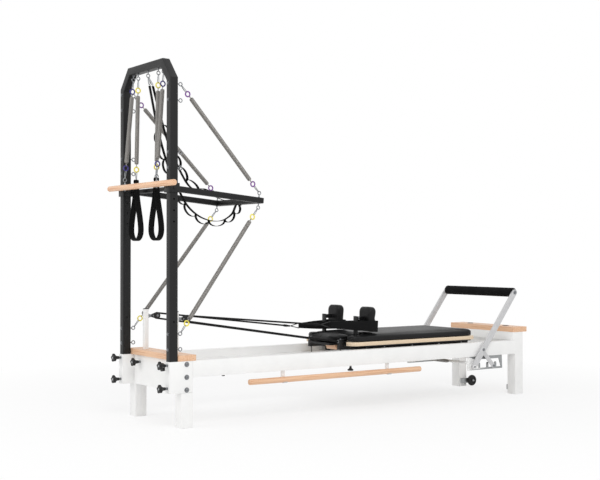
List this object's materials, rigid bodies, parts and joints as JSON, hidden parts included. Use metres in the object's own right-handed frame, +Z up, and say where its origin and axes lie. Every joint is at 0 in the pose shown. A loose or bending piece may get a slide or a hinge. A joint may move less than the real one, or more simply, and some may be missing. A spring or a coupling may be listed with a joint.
{
  "type": "pilates tower reformer",
  "caption": "Reformer bench with a sprung sliding carriage and a footbar, and a half tower at its head end with a push-through bar, a roll-down bar, springs and loops.",
  "frame": {"origin": "on the floor under the middle of the whole object's outer box", "axes": "+X runs from the head end with the tower to the foot end with the footbar, +Y points to the side away from the stored pole, +Z is up"},
  "size_m": [2.727, 0.776, 1.964],
  "materials": {
    "white_frame": "satin",
    "black_frame": "satin",
    "black_tube": "satin",
    "spring_steel": "satin",
    "beech": "satin",
    "pale_wood": "satin",
    "vinyl": "satin",
    "webbing": "matte",
    "black_plastic": "matte",
    "foam": "matte",
    "grey_metal": "satin",
    "cradle_steel": "satin"
  },
  "bodies": {
    "frame": {"rail_near": "white_frame", "rail_far": "white_frame", "head_end_frame": "white_frame", "foot_end_frame": "white_frame", "tower_socket_near": "white_frame", "tower_socket_far": "white_frame", "head_platform": "beech", "foot_platform": "beech", "tower_frame": "black_frame", "footbar_cradle": "cradle_steel", "rope_near": "webbing", "rope_far": "webbing", "carriage_springs": "spring_steel", "upper_bar_spring_near": "spring_steel", "upper_bar_spring_far": "spring_steel", "lower_bar_spring_near": "spring_steel", "lower_bar_spring_far": "spring_steel", "roll_bar_spring_near": "spring_steel", "roll_bar_spring_far": "spring_steel", "hand_loop_spring_near": "spring_steel", "hand_loop_spring_far": "spring_steel", "multi_loop_straps": "webbing"},
    "carriage": {"carriage_deck": "pale_wood", "carriage_cushion": "vinyl", "carriage_underframe": "black_tube", "headrest_prop": "beech"},
    "headrest": {"headrest_board": "black_plastic", "headrest_pad": "vinyl"},
    "front_rollers": {"roller_axle_front": "black_plastic"},
    "rear_rollers": {"roller_axle_rear": "black_plastic"},
    "footbar": {"footbar_frame": "grey_metal", "footbar_foam": "foam"},
    "yoke": {"bar_yoke": "black_frame"},
    "push_bar": {"push_through_bar": "black_tube"},
    "roll_bar": {"roll_down_bar": "beech"},
    "pole": {"stored_pole": "beech"},
    "rail_clamp_knob": {"rail_knob": "black_plastic"},
    "shoulder_rest_near": {"shoulder_post_near": "black_frame", "shoulder_pad_near": "vinyl"},
    "strap_near": {"hand_strap_near": "webbing"},
    "strut_near": {"footbar_strut_near": "grey_metal"},
    "loop_near": {"hand_loop_near": "webbing"},
    "riser_post_near": {"riser_near": "white_frame"},
    "sheave_near": {"riser_sheave_near": "black_plastic"},
    "wheel_near": {"transport_wheel_near": "black_plastic"},
    "upper_socket_knob_near": {"socket_knob_upper_near": "black_plastic"},
    "lower_socket_knob_near": {"socket_knob_lower_near": "black_plastic"},
    "riser_clamp_knob_near": {"riser_knob_near": "black_plastic"},
    "shoulder_rest_far": {"shoulder_post_far": "black_frame", "shoulder_pad_far": "vinyl"},
    "strap_far": {"hand_strap_far": "webbing"},
    "strut_far": {"footbar_strut_far": "grey_metal"},
    "loop_far": {"hand_loop_far": "webbing"},
    "riser_post_far": {"riser_far": "white_frame"},
    "sheave_far": {"riser_sheave_far": "black_plastic"},
    "wheel_far": {"transport_wheel_far": "black_plastic"},
    "upper_socket_knob_far": {"socket_knob_upper_far": "black_plastic"},
    "lower_socket_knob_far": {"socket_knob_lower_far": "black_plastic"},
    "riser_clamp_knob_far": {"riser_knob_far": "black_plastic"}
  },
  "joints": [
    {"name": "carriage_travel", "type": "slide", "parent": "frame", "child": "carriage", "axis": [1, 0, 0], "range_m": [-0.85, 0], "stiffness_N_per_m": 250, "springref_m": 0.02, "deforming": ["rope_near", "rope_far", "carriage_springs"]},
    {"name": "front_roller_spin", "type": "hinge", "parent": "carriage", "child": "front_rollers", "pos_m": [0.1185, 0, 0.328], "axis": [0, 1, 0], "continuous": true},
    {"name": "rear_roller_spin", "type": "hinge", "parent": "carriage", "child": "rear_rollers", "pos_m": [0.8765, 0, 0.328], "axis": [0, 1, 0], "continuous": true},
    {"name": "headrest_tilt", "type": "hinge", "parent": "carriage", "child": "headrest", "pos_m": [0.0542, 0, 0.3793], "axis": [0, 1, 0], "range_deg": [0, 30]},
    {"name": "footbar_tilt", "type": "hinge", "parent": "frame", "child": "footbar", "pos_m": [0.8485, 0, 0.206], "axis": [0, 1, 0], "range_deg": [-38, 16]},
    {"name": "bar_height", "type": "slide", "parent": "frame", "child": "yoke", "axis": [0, 0, 1], "range_m": [-0.1785, 0]},
    {"name": "push_bar_swing", "type": "hinge", "parent": "yoke", "child": "push_bar", "pos_m": [-1.2492, 0, 1.27], "axis": [0, 1, 0], "range_deg": [-75, 60], "stiffness_Nm_per_rad": 40, "springref_deg": -21.77, "deforming": ["upper_bar_spring_near", "upper_bar_spring_far", "lower_bar_spring_near", "lower_bar_spring_far", "multi_loop_straps"]},
    {"name": "roll_bar_pull", "type": "slide", "parent": "frame", "child": "roll_bar", "axis": [0, 0, -1], "range_m": [0, 0.35], "stiffness_N_per_m": 100, "springref_m": -0.042, "deforming": ["roll_bar_spring_near", "roll_bar_spring_far"]},
    {"name": "shoulder_rest_lift_near", "type": "slide", "parent": "carriage", "child": "shoulder_rest_near", "axis": [0, 0, 1], "range_m": [0, 0.12]},
    {"name": "hand_strap_lift_near", "type": "slide", "parent": "carriage", "child": "strap_near", "axis": [0, 0, 1], "range_m": [0, 0.2]},
    {"name": "strut_swing_near", "type": "hinge", "parent": "footbar", "child": "strut_near", "pos_m": [0.92995, -0.306, 0.30987], "axis": [0, 1, 0], "range_deg": [-25, 60]},
    {"name": "hand_loop_pull_near", "type": "slide", "parent": "frame", "child": "loop_near", "axis": [0, 0, -1], "range_m": [0, 0.3], "stiffness_N_per_m": 60, "springref_m": -0.0075, "deforming": ["hand_loop_spring_near"]},
    {"name": "riser_height_near", "type": "slide", "parent": "frame", "child": "riser_post_near", "axis": [0, 0, 1], "range_m": [-0.12, 0.04]},
    {"name": "sheave_spin_near", "type": "hinge", "parent": "riser_post_near", "child": "sheave_near", "pos_m": [-1.1365, -0.176, 0.571], "axis": [0, 1, 0], "continuous": true},
    {"name": "wheel_spin_near", "type": "hinge", "parent": "frame", "child": "wheel_near", "pos_m": [1.3265, -0.196, 0.04], "axis": [0, 1, 0], "continuous": true},
    {"name": "socket_knob_upper_turn_near", "type": "hinge", "parent": "frame", "child": "upper_socket_knob_near", "pos_m": [-1.3115, -0.2767, 0.3348], "axis": [-1, 0, 0], "continuous": true},
    {"name": "socket_knob_lower_turn_near", "type": "hinge", "parent": "frame", "child": "lower_socket_knob_near", "pos_m": [-1.3115, -0.2767, 0.2137], "axis": [-1, 0, 0], "continuous": true},
    {"name": "riser_knob_turn_near", "type": "hinge", "parent": "frame", "child": "riser_clamp_knob_near", "pos_m": [-1.2415, -0.176, 0.31476], "axis": [-1, 0, 0], "continuous": true},
    {"name": "shoulder_rest_lift_far", "type": "slide", "parent": "carriage", "child": "shoulder_rest_far", "axis": [0, 0, 1], "range_m": [0, 0.12]},
    {"name": "hand_strap_lift_far", "type": "slide", "parent": "carriage", "child": "strap_far", "axis": [0, 0, 1], "range_m": [0, 0.2]},
    {"name": "strut_swing_far", "type": "hinge", "parent": "footbar", "child": "strut_far", "pos_m": [0.92995, 0.306, 0.30987], "axis": [0, 1, 0], "range_deg": [-25, 60]},
    {"name": "hand_loop_pull_far", "type": "slide", "parent": "frame", "child": "loop_far", "axis": [0, 0, -1], "range_m": [0, 0.3], "stiffness_N_per_m": 60, "springref_m": -0.0075, "deforming": ["hand_loop_spring_far"]},
    {"name": "riser_height_far", "type": "slide", "parent": "frame", "child": "riser_post_far", "axis": [0, 0, 1], "range_m": [-0.12, 0.04]},
    {"name": "sheave_spin_far", "type": "hinge", "parent": "riser_post_far", "child": "sheave_far", "pos_m": [-1.1365, 0.176, 0.571], "axis": [0, 1, 0], "continuous": true},
    {"name": "wheel_spin_far", "type": "hinge", "parent": "frame", "child": "wheel_far", "pos_m": [1.3265, 0.196, 0.04], "axis": [0, 1, 0], "continuous": true},
    {"name": "socket_knob_upper_turn_far", "type": "hinge", "parent": "frame", "child": "upper_socket_knob_far", "pos_m": [-1.3115, 0.2767, 0.3348], "axis": [-1, 0, 0], "continuous": true},
    {"name": "socket_knob_lower_turn_far", "type": "hinge", "parent": "frame", "child": "lower_socket_knob_far", "pos_m": [-1.3115, 0.2767, 0.2137], "axis": [-1, 0, 0], "continuous": true},
    {"name": "riser_knob_turn_far", "type": "hinge", "parent": "frame", "child": "riser_clamp_knob_far", "pos_m": [-1.2415, 0.176, 0.31476], "axis": [-1, 0, 0], "continuous": true},
    {"name": "rail_knob_turn", "type": "hinge", "parent": "frame", "child": "rail_clamp_knob", "pos_m": [-0.10155, -0.2795, 0.266], "axis": [0, 0, -1], "continuous": true},
    {"name": "pole_lift", "type": "slide", "parent": "frame", "child": "pole", "axis": [0, -0.64, 0.7684], "range_m": [0, 0.25]}
  ],
  "couplings": [
    {"joint": "front_roller_spin", "follows": "carriage_travel", "rad_per_m": 45.455},
    {"joint": "rear_roller_spin", "follows": "carriage_travel", "rad_per_m": 45.455},
    {"joint": "strut_swing_near", "follows": "footbar_tilt", "ratio": -1.55},
    {"joint": "strut_swing_far", "follows": "footbar_tilt", "ratio": -1.55}
  ]
}
